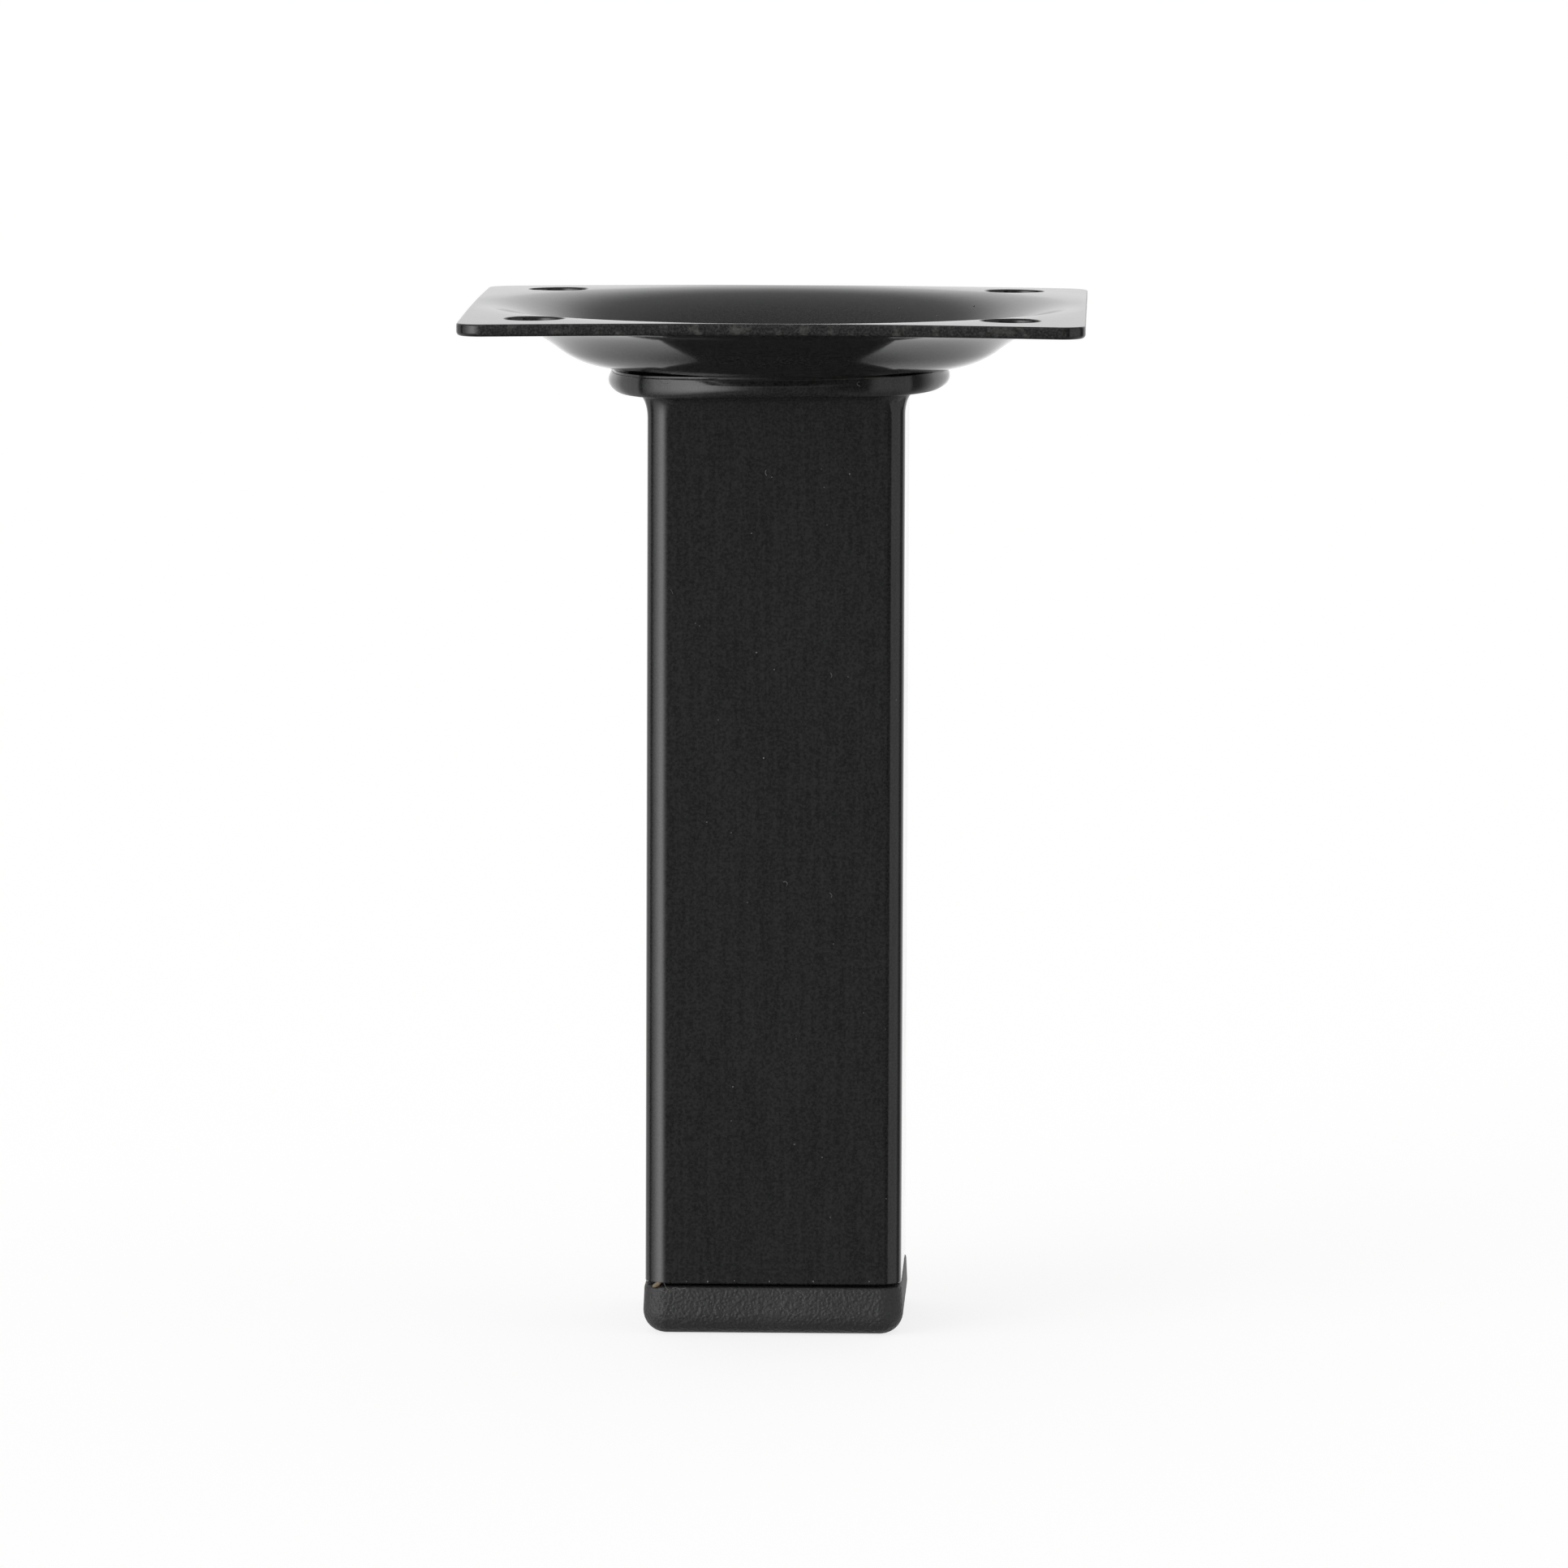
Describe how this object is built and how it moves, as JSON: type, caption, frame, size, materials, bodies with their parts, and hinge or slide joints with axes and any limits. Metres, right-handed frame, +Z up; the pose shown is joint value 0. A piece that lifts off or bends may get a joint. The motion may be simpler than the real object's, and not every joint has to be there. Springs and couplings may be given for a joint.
{
  "type": "furniture leg",
  "caption": "Square metal furniture leg: a tube swaged through the dish of a pressed mounting plate, with a plastic glide in its foot.",
  "frame": {"origin": "on the floor, under the tube's axis, at the middle of the foot cap's underside", "axes": "+Z up along the tube to the mounting face; X and Y along the sides of the tube and the plate"},
  "size_m": [0.06, 0.06, 0.1],
  "materials": {
    "plate_coating": "glossy black powder coat on sheet steel",
    "tube_coating": "glossy black powder coat on steel tube",
    "cap_plastic": "matt dark grey moulded plastic with a fine grain"
  },
  "bodies": {
    "root": {"mounting_plate": "plate_coating", "tube": "tube_coating", "foot_cap": "cap_plastic"}
  },
  "joints": []
}
